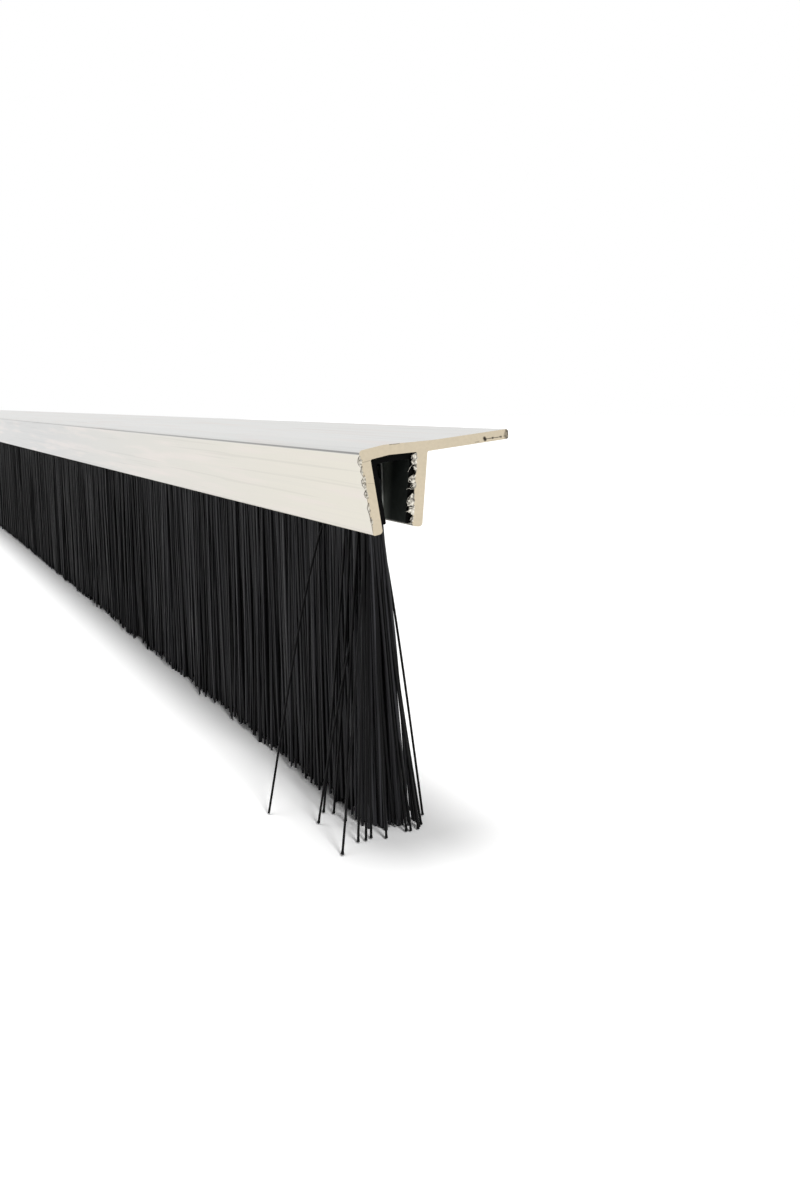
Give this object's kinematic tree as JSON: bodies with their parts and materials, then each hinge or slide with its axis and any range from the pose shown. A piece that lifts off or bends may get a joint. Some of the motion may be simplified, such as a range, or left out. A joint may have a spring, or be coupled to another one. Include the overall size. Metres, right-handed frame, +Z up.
{
  "type": "door bottom brush",
  "caption": "Straight door bottom brush: aluminium carrier with a fixing flange, pressed over a black filament strip that seals the gap below a door.",
  "frame": {"origin": "middle of the flange's fixing face, at the middle of its length", "axes": "+Z up with the filament tips downwards, +X across towards the flange's free edge, +Y along the strip away from the cut end with the stray filaments"},
  "size_m": [0.0335, 0.9151, 0.0629],
  "materials": {
    "mill_aluminium": "mill finish, lightly scratched",
    "black_backing": "extruded",
    "steel_wire": "drawn",
    "black_filament": "drawn filament"
  },
  "bodies": {
    "root": {"carrier_profile": "mill_aluminium", "backing_channel": "black_backing", "core_wire": "steel_wire", "filament_curtain": "black_filament", "stray_filaments": "black_filament"}
  },
  "joints": []
}
